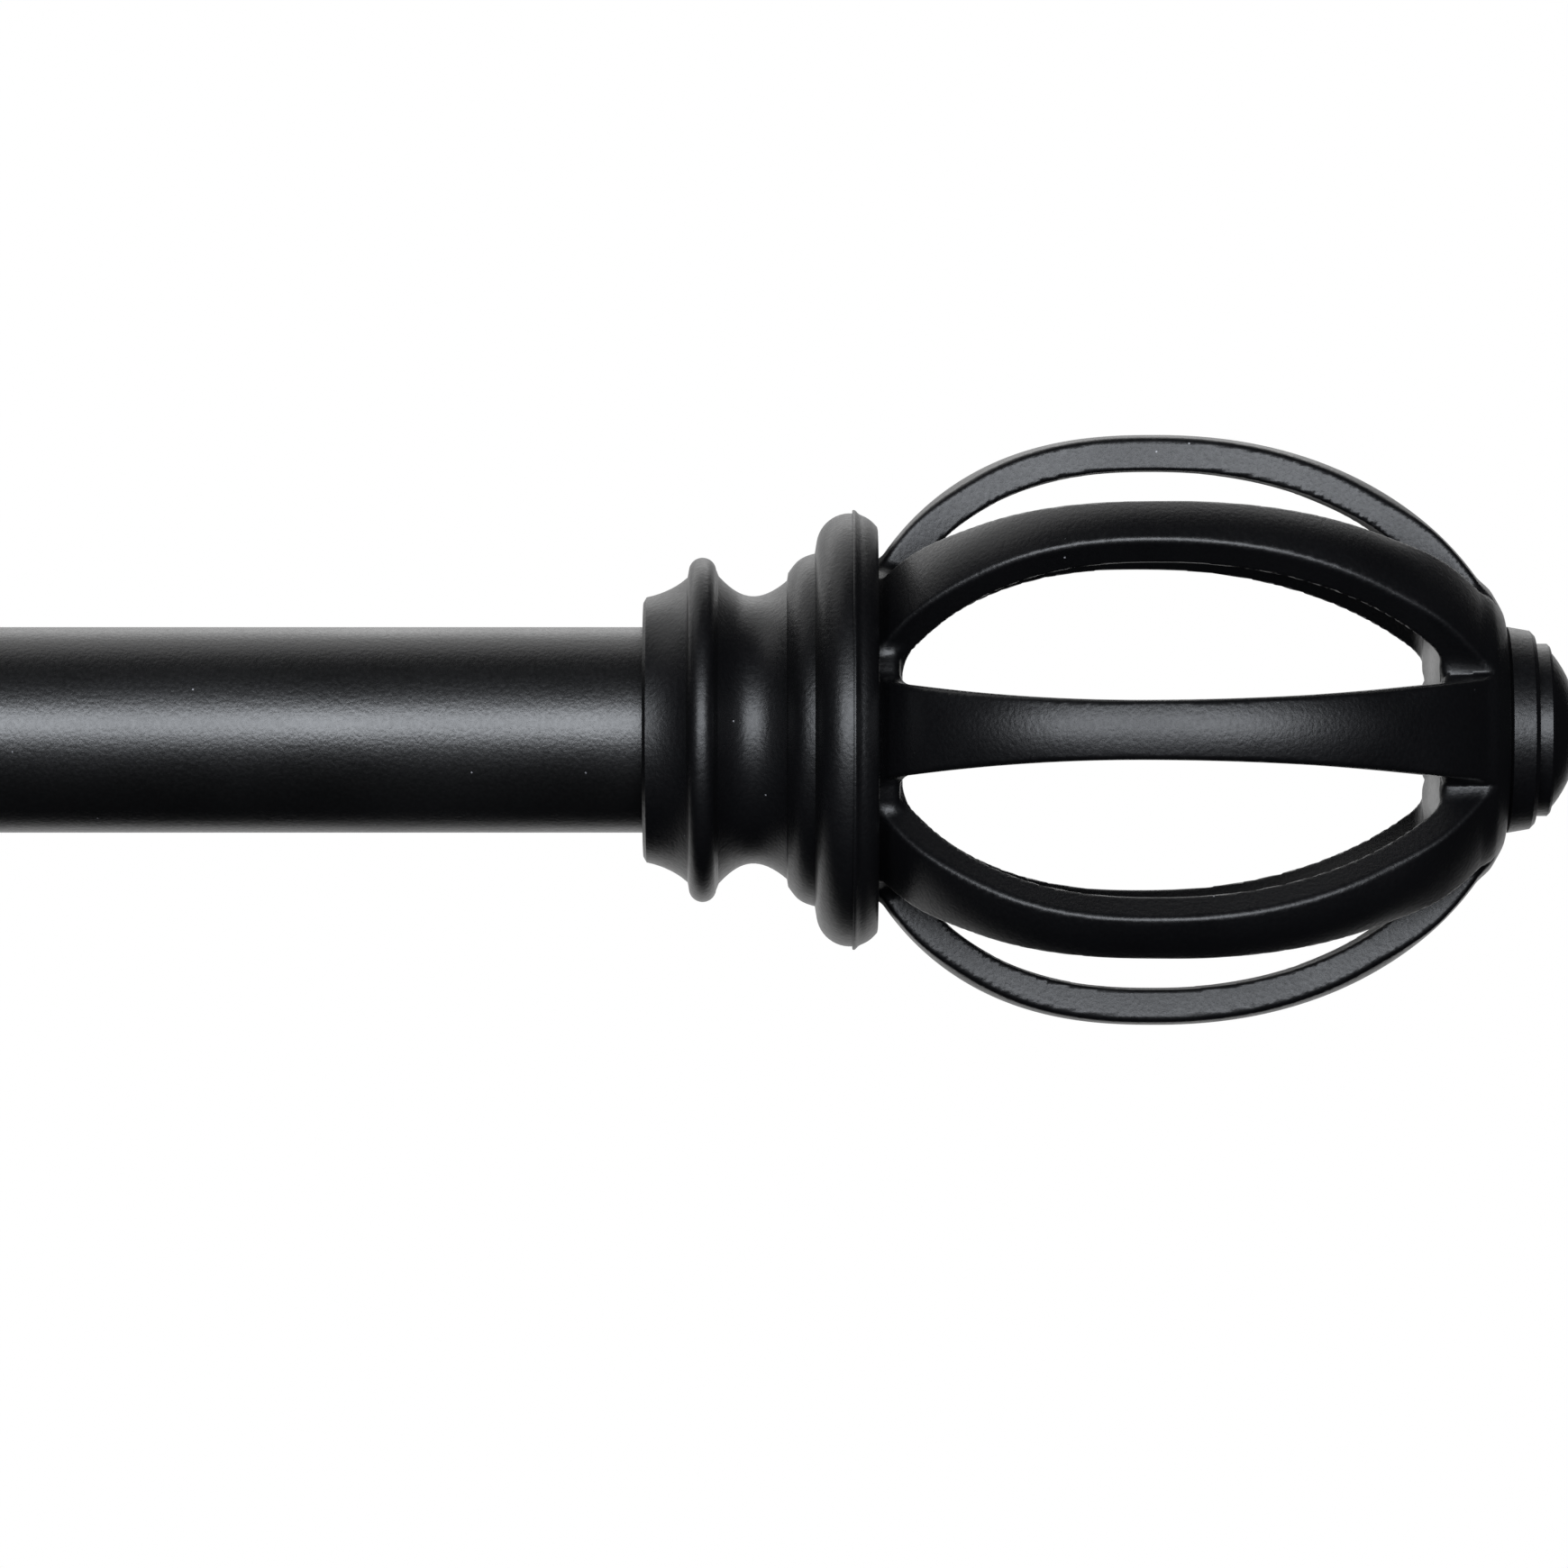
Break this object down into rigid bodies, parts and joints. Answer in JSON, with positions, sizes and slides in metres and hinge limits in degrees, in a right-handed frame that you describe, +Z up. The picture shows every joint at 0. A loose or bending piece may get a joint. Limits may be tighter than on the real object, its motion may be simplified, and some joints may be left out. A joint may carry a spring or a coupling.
{
  "type": "curtain rod",
  "caption": "Telescoping curtain rod in satin black with open birdcage finials that screw off, resting in U-shaped wall brackets with thumbscrews.",
  "frame": {"origin": "centre of the right bracket's wall face, level with the rod's axis", "axes": "+X along the rod towards its right end, +Y into the wall, +Z up"},
  "size_m": [0.8554, 0.099, 0.072],
  "materials": {
    "black_rod": "satin black powder coat on steel tube",
    "black_finial": "satin black paint on cast zinc",
    "black_bracket": "satin black powder coat on steel and cast zinc",
    "dark_plastic": "moulded nylon, dark grey",
    "zinc_steel": "zinc plated steel",
    "black_screw": "black oxide steel",
    "soft_tip": "soft nylon"
  },
  "bodies": {
    "right_bracket": {"right_wall_plate": "black_bracket", "right_arm": "black_bracket", "right_arm_screw": "zinc_steel", "right_cradle": "black_bracket"},
    "outer_rod": {"outer_tube": "black_rod", "outer_tube_bush": "dark_plastic", "right_plug": "dark_plastic"},
    "inner_rod": {"inner_tube": "black_rod", "inner_tube_glide": "dark_plastic", "left_adapter_sleeve": "black_rod", "left_plug": "dark_plastic"},
    "left_bracket": {"left_wall_plate": "black_bracket", "left_arm": "black_bracket", "left_arm_screw": "zinc_steel", "left_cradle": "black_bracket"},
    "right_collar": {"right_finial_collar": "black_finial"},
    "right_finial": {"right_finial_cage": "black_finial", "right_finial_cap": "black_finial", "right_finial_stud": "zinc_steel"},
    "left_collar": {"left_finial_collar": "black_finial"},
    "left_finial": {"left_finial_cage": "black_finial", "left_finial_cap": "black_finial", "left_finial_stud": "zinc_steel"},
    "right_screw_tip": {"right_thumbscrew_tip": "soft_tip"},
    "right_screw": {"right_thumbscrew": "black_screw"},
    "left_screw_tip": {"left_thumbscrew_tip": "soft_tip"},
    "left_screw": {"left_thumbscrew": "black_screw"}
  },
  "joints": [
    {"name": "rod_lift", "type": "slide", "parent": "right_bracket", "child": "outer_rod", "axis": [0, 0, 1], "range_m": [0, 0.04]},
    {"name": "rod_extend", "type": "slide", "parent": "outer_rod", "child": "inner_rod", "axis": [-1, 0, 0], "range_m": [0, 0.508]},
    {"name": "left_bracket_place", "type": "slide", "parent": "right_bracket", "child": "left_bracket", "axis": [-1, 0, 0], "range_m": [0, 0.508]},
    {"name": "right_collar_slide", "type": "slide", "parent": "outer_rod", "child": "right_collar", "axis": [1, 0, 0], "range_m": [0, 0.012]},
    {"name": "right_finial_turn", "type": "hinge", "parent": "right_collar", "child": "right_finial", "pos_m": [0.105, -0.0762, 0], "axis": [1, 0, 0], "range_deg": [0, 4320]},
    {"name": "left_collar_slide", "type": "slide", "parent": "inner_rod", "child": "left_collar", "axis": [-1, 0, 0], "range_m": [0, 0.012]},
    {"name": "left_finial_turn", "type": "hinge", "parent": "left_collar", "child": "left_finial", "pos_m": [-0.6402, -0.0762, 0], "axis": [-1, 0, 0], "range_deg": [0, 4320]},
    {"name": "right_screw_tip_slide", "type": "slide", "parent": "right_bracket", "child": "right_screw_tip", "axis": [0, 0, -1], "range_m": [0, 0.0035]},
    {"name": "right_thumbscrew_turn", "type": "hinge", "parent": "right_screw_tip", "child": "right_screw", "pos_m": [0, -0.0762, -0.01594], "axis": [0, 0, -1], "range_deg": [0, 1800]},
    {"name": "left_screw_tip_slide", "type": "slide", "parent": "left_bracket", "child": "left_screw_tip", "axis": [0, 0, -1], "range_m": [0, 0.0035]},
    {"name": "left_thumbscrew_turn", "type": "hinge", "parent": "left_screw_tip", "child": "left_screw", "pos_m": [-0.5352, -0.0762, -0.01594], "axis": [0, 0, -1], "range_deg": [0, 1800]}
  ],
  "couplings": [
    {"joint": "left_bracket_place", "follows": "rod_extend", "ratio": 1},
    {"joint": "right_collar_slide", "follows": "right_finial_turn", "m_per_rad": 0.00015915},
    {"joint": "left_collar_slide", "follows": "left_finial_turn", "m_per_rad": 0.00015915},
    {"joint": "right_screw_tip_slide", "follows": "right_thumbscrew_turn", "m_per_rad": 0.00011141},
    {"joint": "left_screw_tip_slide", "follows": "left_thumbscrew_turn", "m_per_rad": 0.00011141}
  ]
}
